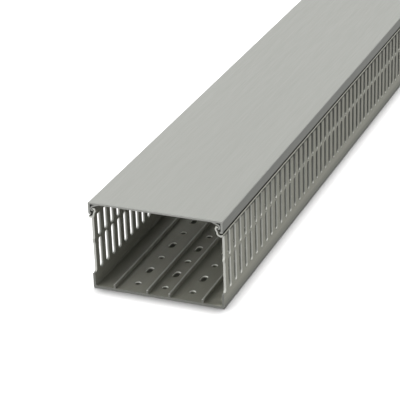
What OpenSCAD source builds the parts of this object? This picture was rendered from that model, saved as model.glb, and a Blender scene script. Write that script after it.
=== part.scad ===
// Slotted wiring duct with its clip-on cover, one stock length.
// Millimetres. The duct lies along Y, X runs across it and Z is up.
// The origin is the middle of the underside.

/* [Stock] */
// Overall width, which is the cover's
duct_width = 120; // [80:1:160]
// Overall height with the cover on
duct_height = 80; // [60:1:120]
// Length of one piece of stock
stock_length = 1000; // [500:12.5:2000]

/* [Floor] */
// Thickness of the floor
floor_thickness = 2.4; // [1.5:0.1:4]
// Radius of the rounded edge under each wall
heel_radius = 1.6; // [0.5:0.1:2]
// Radius of the fillet between the floor and each wall
root_fillet = 1.5; // [0.5:0.1:4]
// Height of a floor rib above the floor
rib_height = 3.5; // [1:0.1:6]
// Thickness of a floor rib
rib_thickness = 1.6; // [1:0.1:3]
// Distance from the middle of the duct to each inner rib
inner_rib_offset = 10; // [6:0.5:14]
// Distance from the middle of the duct to each outer rib
outer_rib_offset = 40; // [34:0.5:50]

/* [Floor holes] */
// Diameter of a round fixing hole
hole_diameter = 5.5; // [3:0.1:7]
// Overall length of an elongated fixing hole
oblong_length = 10.5; // [8:0.1:16]
// Distance between the rows of holes
hole_row_spacing = 25; // [20:0.5:30]
// Distance from one hole to the next along a row
hole_spacing = 25; // [20:0.5:40]
// Distance from the front end to the first hole
first_hole = 15; // [10:0.5:20]

/* [Walls] */
// Thickness of a wall
wall_thickness = 2; // [1.2:0.1:3]
// Distance by which a wall's outer face stands back from the side of the cover
wall_setback = 0.5; // [0.3:0.1:1]
// Distance from one slot to the next
slot_pitch = 12.5; // [10:0.5:20]
// Width of a slot between two fingers
slot_width = 6; // [3:0.1:7]
// Distance from the front end to the first finger
first_finger = 4.6; // [3:0.1:8]
// Height of the closed strip below the slots
plinth_height = 13.5; // [8:0.5:20]
// Height of the web where a finger is broken off
break_height = 43; // [34:0.5:48]
// Thickness of that web at its narrowest
break_web = 1; // [0.6:0.1:3]
// Length of the stub left on the first finger by the web the saw cut through
web_stub = 1.2; // [0.6:0.1:1.4]
// Radius of the rounded shoulders at the top of a finger
shoulder_radius = 1.5; // [0.5:0.1:1.6]
// Height of the narrow neck between a finger's shoulders and the closed strip
neck_height = 0.5; // [0.2:0.1:1.5]
// Height of the closed strip between the slots and the underside of the rail
top_strip = 0.1; // [0.1:0.1:4]

/* [Snap rail] */
// Thickness of the rail folded from the wall's top
rail_thickness = 1.4; // [1:0.1:1.6]
// Depth of the top of the wall's lip below the cover's top
lip_depth = 12; // [11.5:0.1:14]
// Distance by which the lip stands out from the wall's outer face
lip_overhang = 0.5; // [0:0.1:0.5]
// Distance from the side of the cover to the bottom of the groove behind the lip
groove_inset = 2.2; // [2:0.1:2.6]
// Depth of that groove below the lip
groove_depth = 0.5; // [0.3:0.1:1]
// Distance from the side of the cover to the foot of the rail
rail_foot_inset = 4.7; // [4.4:0.1:5.2]
// Distance from the side of the cover to the rail's shoulder
rail_shoulder_inset = 6.3; // [5.8:0.1:7]
// Distance from the side of the cover to the middle of the rail's bead
rail_bead_inset = 4.5; // [4.4:0.1:4.8]
// Depth of the middle of the rail's bead below the cover's top
rail_bead_depth = 5.5; // [5.4:0.1:5.6]

/* [Cover] */
// Thickness of the cover's plate
cover_thickness = 1.6; // [1.2:0.1:2]
// Thickness of the cover's skirt
skirt_thickness = 1.8; // [1.2:0.1:1.9]
// Gap between the skirt and the wall's lip
skirt_gap = 1.3; // [0.4:0.1:2]
// Radius of the cover's rounded long edges
cover_edge_radius = 0.8; // [0.3:0.1:1.2]
// Thickness of the cover's spring leg
leg_thickness = 1.2; // [0.8:0.1:1.3]
// Clearance between the leg, the skirt and the rail
snap_clearance = 0.4; // [0.3:0.05:0.6]
// Distance from the side of the cover to the root of the leg
leg_root_inset = 10.5; // [9:0.5:14]
// Distance by which the leg's nose reaches under the rail's bead
snap_engagement = 0.6; // [0.3:0.1:0.8]
// Distance by which the bead inside the skirt stands out
skirt_bead = 0.9; // [0.4:0.1:1]

/* [Hidden] */
$fn = 48;
overlap = 1;
half_width = duct_width / 2;
half_length = stock_length / 2;
wall_face = half_width - wall_setback;

// Heights along the wall, whose top ends inside the rail's lip
lip_top = duct_height - lip_depth;
wall_top = lip_top - 0.85 * rail_thickness;
slot_top = lip_top - groove_depth - rail_thickness - top_strip;

// Rows of slots, the first of them opened by the saw cut at the front end
first_slot = first_finger - slot_width / 2;
slot_count = floor(stock_length / slot_pitch);
lower_slot = [plinth_height, break_height - break_web / 2];
upper_slot = [break_height + break_web / 2, slot_top];

// Centre line of the rail, from the lip to the bead, as [inset, depth below the cover's top]
rail_line = [
    [wall_setback - lip_overhang + rail_thickness / 2, lip_depth + rail_thickness / 2],
    [groove_inset, lip_depth + groove_depth + rail_thickness / 2],
    [rail_foot_inset, lip_depth + 0.1],
    [rail_foot_inset + 0.3, lip_depth - 2.3],
    [rail_shoulder_inset, lip_depth - 4.8],
    [rail_bead_inset + 1.1, rail_bead_depth - 0.1],
    [rail_bead_inset, rail_bead_depth]
];

// Centre line of the cover's spring leg, from the plate to the nose, in the same terms
leg_gap = rail_thickness / 2 + leg_thickness / 2 + snap_clearance;
leg_bend_inset = skirt_thickness + snap_clearance + leg_thickness / 2;
nose_inset = rail_bead_inset + leg_thickness / 2 - rail_thickness / 2 - snap_engagement;
nose_depth = rail_bead_depth + sqrt(pow(leg_gap, 2) - pow(rail_bead_inset - nose_inset, 2));
leg_line = [
    [leg_root_inset, cover_thickness / 2],
    [leg_bend_inset + 0.7, cover_thickness + 2],
    [leg_bend_inset, cover_thickness + 3.2],
    [leg_bend_inset, nose_depth - 0.7],
    [nose_inset, nose_depth]
];

// Floor holes
hole_count = floor((stock_length - 2 * first_hole) / hole_spacing) + 1;

// A strip of even thickness along a line of points, with round ends and bends
module strip(points, thickness) {
    for (i = [0 : len(points) - 2]) {
        run = points[i + 1] - points[i];
        translate(points[i])
            rotate(atan2(run.y, run.x))
                translate([0, -thickness / 2])
                    square([norm(run), thickness]);
    }
    for (point = points)
        translate(point)
            circle(d = thickness);
}

// Turns a line of [inset, depth] pairs into points of the cross-section's right half
function section_line(line) = [
    for (point = line) [half_width - point.x, duct_height - point.y]
];

module both_sides() {
    children();
    mirror([1, 0])
        children();
}

// Stands a cross-section up and runs it along the stock
module extruded() {
    translate([0, half_length, 0])
        rotate([90, 0, 0])
            linear_extrude(height = stock_length)
                children();
}

// One wall with its rounded heel and the fillet at its root
module wall_section() {
    translate([wall_face - wall_thickness, heel_radius])
        square([wall_thickness, wall_top - heel_radius]);
    translate([wall_face - heel_radius, heel_radius])
        circle(r = heel_radius);
    difference() {
        translate([wall_face - wall_thickness - root_fillet, floor_thickness - overlap / 2])
            square([root_fillet + overlap, root_fillet + overlap / 2]);
        translate([wall_face - wall_thickness - root_fillet, floor_thickness + root_fillet])
            circle(r = root_fillet);
    }
}

module rib_section(offset_from_middle) {
    straight = floor_thickness + rib_height - rib_thickness / 2;
    translate([offset_from_middle - rib_thickness / 2, 0])
        square([rib_thickness, straight]);
    translate([offset_from_middle, straight])
        circle(d = rib_thickness);
}

module duct_section() {
    translate([heel_radius - wall_face, 0])
        square([2 * (wall_face - heel_radius), floor_thickness]);
    both_sides() {
        wall_section();
        rib_section(inner_rib_offset);
        rib_section(outer_rib_offset);
        strip(section_line(rail_line), rail_thickness);
    }
}

// Outline of an upright slot with round ends
module slot_outline(heights) {
    radius = slot_width / 2;
    translate([-radius, heights[0] + radius])
        square([slot_width, heights[1] - heights[0] - slot_width]);
    for (middle = [heights[0] + radius, heights[1] - radius])
        translate([0, middle])
            circle(r = radius);
}

// Outline of a slot that spreads at its top, round the shoulders of the fingers beside it
module shouldered_outline(heights) {
    radius = slot_width / 2;
    spread = radius + shoulder_radius;
    shoulder = heights[1] - neck_height - shoulder_radius;
    translate([0, heights[0] + radius])
        circle(r = radius);
    translate([-radius, heights[0] + radius])
        square([slot_width, heights[1] - heights[0] - radius]);
    difference() {
        translate([-spread, shoulder])
            square([2 * spread, heights[1] - shoulder]);
        for (side = [-1, 1])
            translate([side * spread, shoulder])
                circle(r = shoulder_radius);
    }
}

// Outline of the piece of web torn away in the slot that the saw cut opened
module torn_web_outline() {
    low = lower_slot[1] - slot_width / 2;
    high = upper_slot[0] + slot_width / 2;
    translate([-half_length - overlap, low])
        square([overlap + first_finger - web_stub, high - low]);
}

// Runs an outline seen from the side through both walls
module through_walls() {
    rotate([90, 0, 90])
        linear_extrude(height = duct_width + 2 * overlap, center = true)
            children();
}

module wall_slots() {
    for (i = [0 : slot_count])
        translate([0, first_slot + i * slot_pitch - half_length, 0])
            through_walls() {
                slot_outline(lower_slot);
                shouldered_outline(upper_slot);
            }
    through_walls()
        torn_web_outline();
}

module round_hole() {
    translate([0, 0, -overlap])
        cylinder(d = hole_diameter, h = floor_thickness + 2 * overlap);
}

module oblong_hole() {
    straight = oblong_length - hole_diameter;
    translate([0, 0, -overlap])
        linear_extrude(height = floor_thickness + 2 * overlap) {
            square([hole_diameter, straight], center = true);
            for (end = [-1, 1])
                translate([0, end * straight / 2])
                    circle(d = hole_diameter);
        }
}

// Three rows of fixing holes, round and oblong by turns
module floor_holes() {
    for (row = [-1 : 1], i = [0 : hole_count - 1])
        translate([row * hole_row_spacing, first_hole + i * hole_spacing - half_length, 0])
            if (i % 2 == 0)
                round_hole();
            else
                oblong_hole();
}

module duct() {
    color("#6f716b")
        difference() {
            extruded()
                duct_section();
            wall_slots();
            floor_holes();
        }
}

module cover_section() {
    skirt_foot = lip_top + skirt_gap;
    translate([cover_edge_radius - half_width, duct_height - cover_thickness])
        square([duct_width - 2 * cover_edge_radius, cover_thickness]);
    both_sides() {
        translate([half_width - skirt_thickness, skirt_foot + skirt_thickness / 2])
            square([skirt_thickness, duct_height - cover_edge_radius - skirt_foot - skirt_thickness / 2]);
        translate([half_width - skirt_thickness / 2, skirt_foot + skirt_thickness / 2])
            circle(d = skirt_thickness);
        translate([half_width - cover_edge_radius, duct_height - cover_edge_radius])
            circle(r = cover_edge_radius);
        translate([half_width - skirt_thickness, skirt_foot + skirt_bead])
            circle(r = skirt_bead);
        strip(section_line(leg_line), leg_thickness);
    }
}

module cover() {
    color("#b1b2ac")
        extruded()
            cover_section();
}

duct();
cover();
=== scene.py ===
"""Looks of a slotted wiring duct with its clip-on cover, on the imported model."""

import logging
import math
from abc import ABC, abstractmethod
from dataclasses import dataclass
from enum import Enum

import bpy
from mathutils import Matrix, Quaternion, Vector

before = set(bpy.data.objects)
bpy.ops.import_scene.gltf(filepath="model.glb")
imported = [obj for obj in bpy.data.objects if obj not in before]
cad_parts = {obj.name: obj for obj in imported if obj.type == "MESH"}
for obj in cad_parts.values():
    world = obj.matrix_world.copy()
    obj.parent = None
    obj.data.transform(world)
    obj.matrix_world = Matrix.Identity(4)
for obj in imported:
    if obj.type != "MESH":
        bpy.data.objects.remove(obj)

MM = 0.001
log = logging.getLogger("wire_duct")

Colour = tuple[float, float, float, float]
Triple = tuple[float, float, float]
Socket = bpy.types.NodeSocket


class Node(Enum):
    """The CAD nodes that the scene dresses."""

    DUCT = "duct"
    COVER = "cover"


class Reading(Enum):
    """What an edge of a mark goes by, as the output of Texture Coordinate."""

    PLACE = "Object"
    FACING = "Normal"


class Axis(Enum):
    """The directions of the stock, as the outputs of Separate XYZ."""

    ACROSS = "X"
    ALONG = "Y"
    UP = "Z"


def linear_colour(srgb_hex: str) -> Colour:
    """Turns an sRGB hex colour into a linear one.

    Args:
        srgb_hex: Colour as "#rrggbb".

    Returns:
        Red, green and blue in linear light, and an alpha of one.
    """
    parts = [int(srgb_hex[i : i + 2], 16) / 255 for i in (1, 3, 5)]
    red, green, blue = (
        part / 12.92 if part <= 0.04045 else ((part + 0.055) / 1.055) ** 2.4
        for part in parts
    )
    return red, green, blue, 1.0


def add_node(
    tree: bpy.types.NodeTree,
    kind: str,
    inputs: dict[str | int, object] | None = None,
    **settings: object,
) -> bpy.types.Node:
    """Adds a node with its settings, input values and links.

    Args:
        tree: Node tree that gets the node.
        kind: Type name of the node.
        inputs: Values or sockets to link, by the input's name or number.
        settings: Properties of the node.

    Returns:
        The new node.
    """
    node = tree.nodes.new(kind)
    for name, value in settings.items():
        setattr(node, name, value)
    for name, value in (inputs or {}).items():
        if isinstance(value, Socket):
            tree.links.new(value, node.inputs[name])
        else:
            node.inputs[name].default_value = value
    return node


@dataclass(frozen=True)
class Edge:
    """A limit across which a mark fades in, from `none` of it to `full`.

    The sign of the coordinate doesn't count, so one edge serves both walls and
    both ends.
    """

    reading: Reading
    axis: Axis
    none: float
    full: float


Mark = tuple[Edge, ...]


def place(axis: Axis, none: float, full: float) -> Edge:
    """Makes an edge between two places on the stock.

    Args:
        axis: Direction in which the places are measured.
        none: Distance in mm from the middle at which nothing shows yet.
        full: Distance in mm from the middle from which all of it shows.

    Returns:
        The edge, in metres.
    """
    return Edge(Reading.PLACE, axis, none * MM, full * MM)


def facing(axis: Axis, none: float, full: float) -> Edge:
    """Makes an edge between two slants of the surface.

    Args:
        axis: Direction that the surface is compared with.
        none: The normal's part along the axis at which nothing shows yet.
        full: The normal's part along the axis from which all of it shows.

    Returns:
        The edge.
    """
    return Edge(Reading.FACING, axis, none, full)


@dataclass(frozen=True)
class RigidPvc:
    """Rigid PVC, extruded through a die and cooled: satin and nearly even.

    The die leaves fine lines and slow streaks of tone along the stock, which
    break up its reflections. Sawn and punched places are duller, and torn and
    strained ones whiten. Painted shade darkens the slots' insides, the corner
    under the lip, the walls' foot and the seams behind the lip; painted
    highlights lighten the flanks' outer edges, the ribs' tops and the holes'
    upper rims.
    """

    name: str
    face: str
    streak: str
    # Dull tone of sawn and punched faces, also laid on as painted shade
    dull_and_shade: str
    dull_and_shade_marks: tuple[Mark, ...]
    # Whitening of torn and strained plastic, also laid on as painted highlight
    strained_and_highlight: str = "#a2a39d"
    strained_and_highlight_marks: tuple[Mark, ...] = ()
    # Painted highlight on the holes' upper rims
    painted_rim_highlight: str = "#ecece6"
    painted_rim_highlight_marks: tuple[Mark, ...] = ()
    # Painted shade in the seams at the lip
    painted_seam_shade: str = "#30312d"
    painted_seam_shade_marks: tuple[Mark, ...] = ()
    ior: float = 1.53
    roughness: float = 0.42
    roughness_swing: float = 0.05
    dull_roughness: float = 0.62
    # Width of a streak of tone and spacing of the die's lines across the stock.
    # Real lines lie about 0.1 mm apart; they are drawn coarser, so that they show
    streak_width: float = 9.0
    die_line_spacing: float = 0.7
    die_line_height: float = 0.01
    die_line_relief: float = 0.25
    # Grain of the matt skin, really about 0.05 mm; drawn coarser, so that it shows
    grain_size: float = 0.35
    grain_height: float = 0.006
    grain_relief: float = 0.5
    # Share of a pattern's fineness that is left along the stock
    drawn_out: float = 0.02

    def material(self) -> bpy.types.Material:
        """Builds the node material of this finish.

        Returns:
            The finished material.
        """
        made = bpy.data.materials.new(self.name)
        made.use_nodes = True
        tree = made.node_tree
        tree.nodes.clear()
        source = add_node(tree, "ShaderNodeTexCoord")
        sides = self._sides(tree, source)
        dulled_and_shaded = self._share(tree, sides, self.dull_and_shade_marks)

        # Streaks and die lines are tight across the stock and drawn out along it
        drawn = add_node(
            tree,
            "ShaderNodeMapping",
            {
                "Vector": source.outputs["Object"],
                "Scale": (1.0, self.drawn_out, 1.0),
            },
        )
        streaks = add_node(
            tree,
            "ShaderNodeTexNoise",
            {
                "Vector": drawn.outputs["Vector"],
                "Scale": 1 / (self.streak_width * MM),
                "Detail": 3.0,
                "Roughness": 0.55,
            },
        )
        die_lines = add_node(
            tree,
            "ShaderNodeTexNoise",
            {
                "Vector": drawn.outputs["Vector"],
                "Scale": 1 / (self.die_line_spacing * MM),
                "Detail": 1.0,
                "Roughness": 0.5,
            },
        )
        grain = add_node(
            tree,
            "ShaderNodeTexNoise",
            {
                "Vector": source.outputs["Object"],
                "Scale": 1 / (self.grain_size * MM),
                "Detail": 2.0,
                "Roughness": 0.6,
            },
        )
        streaked = add_node(
            tree,
            "ShaderNodeMapRange",
            {"Value": streaks.outputs["Fac"], "From Min": 0.35, "From Max": 0.65},
        )
        layers: list[tuple[Socket, str]] = [
            (streaked.outputs["Result"], self.streak),
            (dulled_and_shaded, self.dull_and_shade),
        ]
        for shade, marks in (
            (self.strained_and_highlight, self.strained_and_highlight_marks),
            (self.painted_rim_highlight, self.painted_rim_highlight_marks),
            (self.painted_seam_shade, self.painted_seam_shade_marks),
        ):
            if marks:
                layers.append((self._share(tree, sides, marks), shade))
        # Mix has one set of inputs for each data type, so its inputs go by number
        colour: Socket | Colour = linear_colour(self.face)
        for share, shade in layers:
            colour = add_node(
                tree,
                "ShaderNodeMix",
                {0: share, 6: colour, 7: linear_colour(shade)},
                data_type="RGBA",
            ).outputs[2]
        skin_gloss = add_node(
            tree,
            "ShaderNodeMapRange",
            {
                "Value": die_lines.outputs["Fac"],
                "From Min": 0.3,
                "From Max": 0.7,
                "To Min": self.roughness - self.roughness_swing,
                "To Max": self.roughness + self.roughness_swing,
            },
        )
        gloss = add_node(
            tree,
            "ShaderNodeMix",
            {0: dulled_and_shaded, 2: skin_gloss.outputs["Result"], 3: self.dull_roughness},
            data_type="FLOAT",
        )
        lined = add_node(
            tree,
            "ShaderNodeBump",
            {
                "Height": die_lines.outputs["Fac"],
                "Distance": self.die_line_height * MM,
                "Strength": self.die_line_relief,
            },
        )
        grained = add_node(
            tree,
            "ShaderNodeBump",
            {
                "Height": grain.outputs["Fac"],
                "Distance": self.grain_height * MM,
                "Strength": self.grain_relief,
                "Normal": lined.outputs["Normal"],
            },
        )
        shader = add_node(
            tree,
            "ShaderNodeBsdfPrincipled",
            {
                "Base Color": colour,
                "Roughness": gloss.outputs[0],
                "IOR": self.ior,
                "Normal": grained.outputs["Normal"],
            },
        )
        add_node(
            tree,
            "ShaderNodeOutputMaterial",
            {"Surface": shader.outputs["BSDF"]},
        )
        return made

    def _sides(
        self, tree: bpy.types.NodeTree, source: bpy.types.Node
    ) -> dict[tuple[Reading, Axis], Socket]:
        """Reads places and normals without their signs.

        Args:
            tree: Node tree of the material.
            source: Texture coordinate node.

        Returns:
            A socket for each reading and axis.
        """
        sides: dict[tuple[Reading, Axis], Socket] = {}
        for reading in Reading:
            parts = add_node(
                tree,
                "ShaderNodeSeparateXYZ",
                {"Vector": source.outputs[reading.value]},
            )
            for axis in Axis:
                sides[reading, axis] = add_node(
                    tree,
                    "ShaderNodeMath",
                    {0: parts.outputs[axis.value]},
                    operation="ABSOLUTE",
                ).outputs[0]
        return sides

    def _share(
        self,
        tree: bpy.types.NodeTree,
        sides: dict[tuple[Reading, Axis], Socket],
        marks: tuple[Mark, ...],
    ) -> Socket:
        """Finds where any one of some marks lies.

        Args:
            tree: Node tree of the material.
            sides: Places and normals without their signs.
            marks: The marks, each a set of edges that all hold at once.

        Returns:
            A socket that is one on the marks and zero elsewhere.
        """
        anywhere: Socket | None = None
        for mark in marks:
            here: Socket | None = None
            for edge in mark:
                held = add_node(
                    tree,
                    "ShaderNodeMapRange",
                    {
                        "Value": sides[edge.reading, edge.axis],
                        "From Min": edge.none,
                        "From Max": edge.full,
                    },
                ).outputs["Result"]
                if here is not None:
                    held = add_node(
                        tree, "ShaderNodeMath", {0: here, 1: held}, operation="MULTIPLY"
                    ).outputs[0]
                here = held
            if anywhere is not None:
                here = add_node(
                    tree, "ShaderNodeMath", {0: anywhere, 1: here}, operation="MAXIMUM"
                ).outputs[0]
            anywhere = here
        return anywhere


@dataclass
class Stock(ABC):
    """A length of extruded stock, sawn off square at both ends.

    Sizes are in millimetres from the middle of the duct's underside.
    """

    half_length: float = 500.0

    @property
    @abstractmethod
    def node(self) -> Node:
        """The CAD node that holds this piece."""

    @abstractmethod
    def plastic(self) -> RigidPvc:
        """The finish, with its marks where the sizes put them."""

    def dress(self) -> bpy.types.Object:
        """Gives the CAD node its finish and leaves its mesh alone.

        Returns:
            The node's object.
        """
        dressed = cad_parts[self.node.value]
        material = self.plastic().material()
        for slot in dressed.material_slots:
            slot.material = material
        return dressed

    def sawn_end(self) -> Mark:
        """Marks the sawn faces.

        Returns:
            The face that the saw leaves right across the section.
        """
        end = self.half_length
        return (
            facing(Axis.ALONG, none=0.5, full=0.8),
            place(Axis.ALONG, end - 0.7, end - 0.4),
        )

    def short_of_ends(self) -> Edge:
        """All of the stock up to its two sawn faces."""
        end = self.half_length
        return place(Axis.ALONG, end - 0.2, end - 0.4)


@dataclass
class Duct(Stock):
    """The slotted channel: floor, ribs, fingers and the rails for the cover."""

    wall_face: float = 59.5
    wall_inside: float = 57.5
    plinth_height: float = 13.5
    slot_top: float = 66.0
    lip_top: float = 68.0
    floor_thickness: float = 2.4
    rib_top: float = 5.9
    outer_rib_side: float = 40.8
    hole_row: float = 25.0
    # Distance from either end to the finger next to it
    first_finger: float = 4.6
    # Height from which the walls' foot is painted darker as shade
    painted_shade_height: float = 10.0

    @property
    def node(self) -> Node:
        """The CAD node of the channel."""
        return Node.DUCT

    def plastic(self) -> RigidPvc:
        """Works out the channel's finish.

        Returns:
            Warm grey PVC, whitened where slots and rails are torn, with painted shade
            and painted highlights in and round the slots, the lip, the foot, the ribs
            and the holes.
        """
        # The punch comes from inside and tears the plastic as it leaves; the pale outer
        # band of the flanks is also a painted highlight, where light from outside falls
        torn_flank_and_highlight = self.slot_flank() + (
            place(Axis.ACROSS, self.wall_inside + 0.7, self.wall_inside + 1.5),
        )
        finger = self.half_length - self.first_finger
        open_flank = self.slot_flank() + (
            place(Axis.ALONG, finger - 1.4, finger - 0.6),
        )
        torn_rail = self.sawn_end() + (
            place(Axis.UP, self.slot_top - 4.0, self.slot_top - 2.0),
        )
        return RigidPvc(
            name="rigid_pvc_extruded_duct",
            face="#7c7c72",
            streak="#808076",
            dull_and_shade="#5a5b56",
            # Only the sawn ends are dull for real; the punched flanks and floors of the
            # slots are duller and also painted darker as shade inside the slots, and
            # the corner under the lip and the walls' foot are painted shade
            dull_and_shade_marks=(
                self.sawn_end(),
                self.slot_flank(),
                self.slot_floor(),
                self.painted_shade_under_lip(),
                self.painted_shade_at_heel(),
            ),
            strained_and_highlight_marks=(torn_flank_and_highlight, open_flank, torn_rail, self.painted_highlight_on_rib()),
            painted_rim_highlight_marks=(self.painted_highlight_in_bore(),),
            painted_seam_shade_marks=(self.painted_shade_in_lip_seam(),),
        )

    def in_slot(self) -> Mark:
        """Marks where the slots are.

        Returns:
            The thickness of the walls, from the plinth to the rail.
        """
        return (
            place(Axis.ACROSS, self.wall_inside - 0.3, self.wall_inside - 0.1),
            place(Axis.UP, self.plinth_height - 1.0, self.plinth_height - 0.5),
            place(Axis.UP, self.slot_top + 0.2, self.slot_top + 0.1),
            self.short_of_ends(),
        )

    def slot_flank(self) -> Mark:
        """Punched sides of the fingers."""
        return self.in_slot() + (facing(Axis.ALONG, none=0.3, full=0.7),)

    def slot_floor(self) -> Mark:
        """Marks the slots' floors.

        Returns:
            The punched lower ends of the slots, on the plinth and on the webs.
        """
        return self.in_slot() + (
            facing(Axis.UP, none=0.3, full=0.5),
            facing(Axis.ACROSS, none=0.6, full=0.4),
            place(Axis.UP, self.slot_top - 5.0, self.slot_top - 6.0),
        )

    def painted_shade_in_lip_seam(self) -> Mark:
        """Marks the seam behind the lip.

        Returns:
            The groove under the cover's skirt, painted dark as shade.
        """
        return (
            place(Axis.ACROSS, self.wall_face + 0.1, self.wall_face - 0.2),
            place(Axis.ACROSS, self.wall_inside - 0.7, self.wall_inside - 0.3),
            place(Axis.UP, self.lip_top - 1.2, self.lip_top - 1.0),
            facing(Axis.UP, none=0.3, full=0.6),
            self.short_of_ends(),
        )

    def painted_shade_under_lip(self) -> Mark:
        """Marks the corner under the lip.

        Returns:
            The tops of the fingers under the lip, painted darker as the lip's shade.
        """
        return (
            place(Axis.ACROSS, self.wall_face - 0.5, self.wall_face - 0.1),
            place(Axis.UP, self.slot_top - 1.8, self.slot_top - 0.8),
            place(Axis.UP, self.lip_top - 0.9, self.lip_top - 1.2),
            self.short_of_ends(),
        )

    def painted_shade_at_heel(self) -> Mark:
        """Marks the heel of the walls.

        Returns:
            The walls' foot, painted darker towards the bottom as shade near the floor.
        """
        return (
            place(Axis.ACROSS, self.wall_face - 0.5, self.wall_face - 0.2),
            place(Axis.UP, self.painted_shade_height, 1.0),
            self.short_of_ends(),
        )

    def painted_highlight_on_rib(self) -> Mark:
        """Marks the ribs.

        Returns:
            The tops of the floor's ribs, painted pale as a highlight.
        """
        return (
            place(Axis.UP, self.rib_top - 0.7, self.rib_top - 0.4),
            place(Axis.UP, self.rib_top + 1.1, self.rib_top + 0.1),
            place(Axis.ACROSS, self.outer_rib_side + 2.2, self.outer_rib_side + 1.2),
        )

    def painted_highlight_in_bore(self) -> Mark:
        """Marks the fixing holes.

        Returns:
            The upper rims inside the holes, painted pale as a highlight.
        """
        return (
            facing(Axis.UP, none=0.5, full=0.3),
            place(Axis.ACROSS, self.hole_row + 8.0, self.hole_row + 7.0),
            self.short_of_ends(),
            place(Axis.UP, self.floor_thickness + 0.1, self.floor_thickness),
            place(Axis.UP, self.floor_thickness - 1.4, self.floor_thickness - 0.8),
        )


@dataclass
class Cover(Stock):
    """The flat cover with its skirts and spring legs."""

    skirt_foot: float = 69.3
    skirt_inside: float = 58.2

    @property
    def node(self) -> Node:
        """The CAD node of the cover."""
        return Node.COVER

    def plastic(self) -> RigidPvc:
        """Works out the cover's finish.

        Returns:
            Cooler and evener grey PVC than the channel's, with painted shade along its
            foot.
        """
        return RigidPvc(
            name="rigid_pvc_extruded_cover",
            face="#6c6d69",
            streak="#6e6f6b",
            dull_and_shade="#7c7d79",
            dull_and_shade_marks=(self.sawn_end(),),
            painted_seam_shade_marks=(self.painted_shade_on_skirt_foot(),),
        )

    def painted_shade_on_skirt_foot(self) -> Mark:
        """Marks the foot of the skirts.

        Returns:
            The skirts' lower edge over the lip, painted dark as shade.
        """
        return (
            place(Axis.ACROSS, self.skirt_inside + 0.2, self.skirt_inside + 0.4),
            place(Axis.UP, self.skirt_foot + 1.6, self.skirt_foot + 1.1),
            self.short_of_ends(),
        )


@dataclass(frozen=True)
class Glow:
    """A broad pale patch in the surroundings, as a softbox or a lit wall gives."""

    comes_from: Triple
    strength: float
    edge: float


@dataclass(frozen=True)
class SoftLight:
    """A distant soft light, the same all along the stock.

    Its spread is the angle in degrees that it fills. Without glints it acts as
    a polarised light, which flat faces and rounded edges don't reflect.
    """

    name: str
    strength: float
    spread: float
    comes_from: Triple
    glints: bool = True
    distance: float = 3.0

    def hang(self, lit: list[bpy.types.Object]) -> bpy.types.Object:
        """Hangs the light.

        Args:
            lit: The objects that it falls on; all of them cast shadows.

        Returns:
            The light.
        """
        lamp = bpy.data.lights.new(self.name, "SUN")
        lamp.energy = self.strength
        lamp.angle = math.radians(self.spread)
        light = bpy.data.objects.new(self.name, lamp)
        bpy.context.scene.collection.objects.link(light)
        comes_from = Vector(self.comes_from)
        light.location = comes_from.normalized() * self.distance
        light.rotation_mode = "QUATERNION"
        light.rotation_quaternion = (-comes_from).to_track_quat("-Z", "Y")
        light.visible_glossy = self.glints
        receivers = bpy.data.collections.new(f"lit_by_{self.name}")
        for item in lit:
            receivers.objects.link(item)
        light.light_linking.receiver_collection = receivers
        return light


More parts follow.
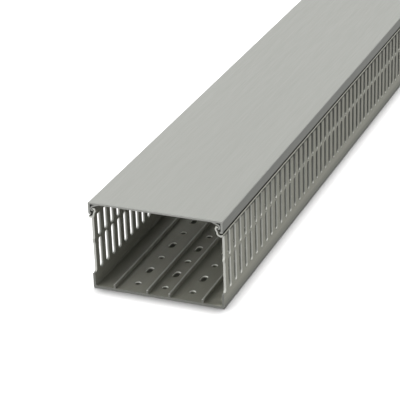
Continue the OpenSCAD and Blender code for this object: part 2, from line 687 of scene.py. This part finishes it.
@dataclass
class Studio:
    """Pale floor, soft lights for the stock and for the floor, and the camera."""

    # Sides of the floor in metres, and of the dark card of painted shade under the duct
    # in mm
    floor_size: float = 12.0
    painted_shade_card_size: tuple[float, float] = (108.0, 992.0)
    # Depths of both in mm below the duct's underside
    floor_depth: float = 0.2
    painted_shade_card_depth: float = 0.1
    floor_colour: str = "#b4b4b4"
    # Dark card under the duct: painted shade where the holes show the ground
    painted_shade_card_colour: str = "#55554f"
    paper_roughness: float = 0.9
    paper_specular: float = 0.2
    air_colour: str = "#ffffff"
    air_strength: float = 0.06
    # Overhead and leaning over the right wall, low from the front left into the
    # open end, and grazing along the right wall from behind
    stock_lights: tuple[SoftLight, ...] = (
        SoftLight("key", 5.35, 10.0, (0.15, 0.1, 1.0), glints=False),
        SoftLight("front_light", 2.4, 30.0, (-0.5, -0.8, 0.08)),
        SoftLight("side_light", 0.9, 6.0, (0.35, 0.93, 0.04), glints=False),
    )
    floor_light: SoftLight = SoftLight("floor_light", 7.2, 14.0, (-0.03, 0.1, 1.0))
    # Left of the duct, before its open end, right of it and behind it
    glows: tuple[Glow, ...] = (
        Glow((-1.0, -0.1, 0.2), 3.0, 0.3),
        Glow((-0.3, -1.0, 0.1), 0.4, 0.2),
        Glow((1.0, 0.2, 0.1), 1.3, 0.4),
        Glow((-0.2, 1.0, 0.25), 0.8, 0.6),
    )
    camera_place: Triple = (0.5165, -1.6185, 0.6723)
    camera_aim: Triple = (-0.0058, -0.3894, 0.04)
    camera_roll: float = -2.155
    camera_lens: float = 150.9
    camera_sensor: float = 36.0
    camera_reach: tuple[float, float] = (0.05, 60.0)

    def lay_floor(self) -> bpy.types.Object:
        """Lays the floor that the duct lies on.

        Returns:
            The floor, which bounced light doesn't see, so that the open end
            isn't lit from below.
        """
        size = (self.floor_size, self.floor_size)
        floor = self._sheet("floor", size, self.floor_depth, self.floor_colour)
        floor.visible_diffuse = False
        floor.visible_glossy = False
        return floor

    def lay_painted_shade_card(self) -> bpy.types.Object:
        """Lays dark card under the duct as painted shade, so that its holes look dark,
        and returns it.
        """
        size = (self.painted_shade_card_size[0] * MM, self.painted_shade_card_size[1] * MM)
        return self._sheet("painted_shade_card", size, self.painted_shade_card_depth, self.painted_shade_card_colour)

    def _sheet(
        self, name: str, size: tuple[float, float], depth: float, colour: str
    ) -> bpy.types.Object:
        """Makes one flat sheet of matt paper of the stage.

        Args:
            name: Name of the sheet.
            size: Its width and length in metres.
            depth: Its depth in mm below the duct's underside.
            colour: Its sRGB hex colour.

        Returns:
            The sheet.
        """
        bpy.ops.object.select_all(action="DESELECT")
        bpy.ops.mesh.primitive_plane_add(size=1.0, location=(0, 0, -depth * MM))
        sheet = bpy.context.object
        sheet.name = name
        sheet.scale = (*size, 1.0)
        paper = bpy.data.materials.new(f"{name}_paper")
        paper.use_nodes = True
        tree = paper.node_tree
        tree.nodes.clear()
        shader = add_node(
            tree,
            "ShaderNodeBsdfPrincipled",
            {
                "Base Color": linear_colour(colour),
                "Roughness": self.paper_roughness,
                "Specular IOR Level": self.paper_specular,
            },
        )
        add_node(
            tree, "ShaderNodeOutputMaterial", {"Surface": shader.outputs["BSDF"]}
        )
        sheet.data.materials.append(paper)
        return sheet

    def light_air(self) -> bpy.types.World:
        """Fills the surroundings with broad glows on faint even light.

        Returns:
            The world, which the camera itself sees as plain white.
        """
        world = bpy.data.worlds.new("studio_air")
        bpy.context.scene.world = world
        world.use_nodes = True
        tree = world.node_tree
        tree.nodes.clear()
        place_in_air = add_node(tree, "ShaderNodeTexCoord")
        total: Socket | float = self.air_strength
        for glow in self.glows:
            towards = add_node(
                tree,
                "ShaderNodeVectorMath",
                {
                    0: place_in_air.outputs["Generated"],
                    1: Vector(glow.comes_from).normalized(),
                },
                operation="DOT_PRODUCT",
            )
            share = add_node(
                tree,
                "ShaderNodeMapRange",
                {
                    "Value": towards.outputs["Value"],
                    "From Min": glow.edge,
                    "From Max": 1.0,
                    "To Max": glow.strength,
                },
                interpolation_type="SMOOTHSTEP",
            )
            total = add_node(
                tree,
                "ShaderNodeMath",
                {0: total, 1: share.outputs["Result"]},
                operation="ADD",
            ).outputs[0]
        seen = add_node(tree, "ShaderNodeLightPath")
        strength = add_node(
            tree,
            "ShaderNodeMix",
            {0: seen.outputs["Is Camera Ray"], 2: total, 3: 1.0},
            data_type="FLOAT",
        )
        air = add_node(
            tree,
            "ShaderNodeBackground",
            {
                "Color": linear_colour(self.air_colour),
                "Strength": strength.outputs[0],
            },
        )
        add_node(tree, "ShaderNodeOutputWorld", {"Surface": air.outputs["Background"]})
        return world

    def hang_lights(
        self, stock: list[bpy.types.Object], stage: list[bpy.types.Object]
    ) -> None:
        """Hangs the lights of the stock and of the floor.

        The floor has a light of its own, so that the soft shadow at the duct's
        foot doesn't depend on how the stock is lit.

        Args:
            stock: The pieces that the lights of the stock fall on.
            stage: The sheets that the light of the floor falls on.
        """
        for light in self.stock_lights:
            light.hang(stock)
        self.floor_light.hang(stage)

    def set_camera(self) -> bpy.types.Object:
        """Stands the camera in front of the open end, to its right.

        Returns:
            The camera.
        """
        lens = bpy.data.cameras.new("camera")
        lens.lens = self.camera_lens
        lens.sensor_width = self.camera_sensor
        lens.clip_start, lens.clip_end = self.camera_reach
        camera = bpy.data.objects.new("camera", lens)
        bpy.context.scene.collection.objects.link(camera)
        stand = Vector(self.camera_place)
        camera.location = stand
        camera.rotation_mode = "QUATERNION"
        level = (Vector(self.camera_aim) - stand).to_track_quat("-Z", "Y")
        roll = Quaternion((0.0, 0.0, 1.0), math.radians(self.camera_roll))
        camera.rotation_quaternion = level @ roll
        bpy.context.scene.camera = camera
        return camera


def main() -> None:
    """Dresses the duct and its cover, and sets up the studio round them."""
    logging.basicConfig(level=logging.INFO, format="%(message)s")
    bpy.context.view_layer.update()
    stock = []
    for piece in (Duct(), Cover()):
        dressed = piece.dress()
        stock.append(dressed)
        finish = dressed.material_slots[0].name
        log.info("%s: %d faces, %s", dressed.name, len(dressed.data.polygons), finish)
    studio = Studio()
    stage = [studio.lay_floor(), studio.lay_painted_shade_card()]
    studio.light_air()
    studio.hang_lights(stock, stage)
    studio.set_camera()
    bpy.context.scene.view_settings.view_transform = "Standard"


if __name__ == "__main__":
    main()
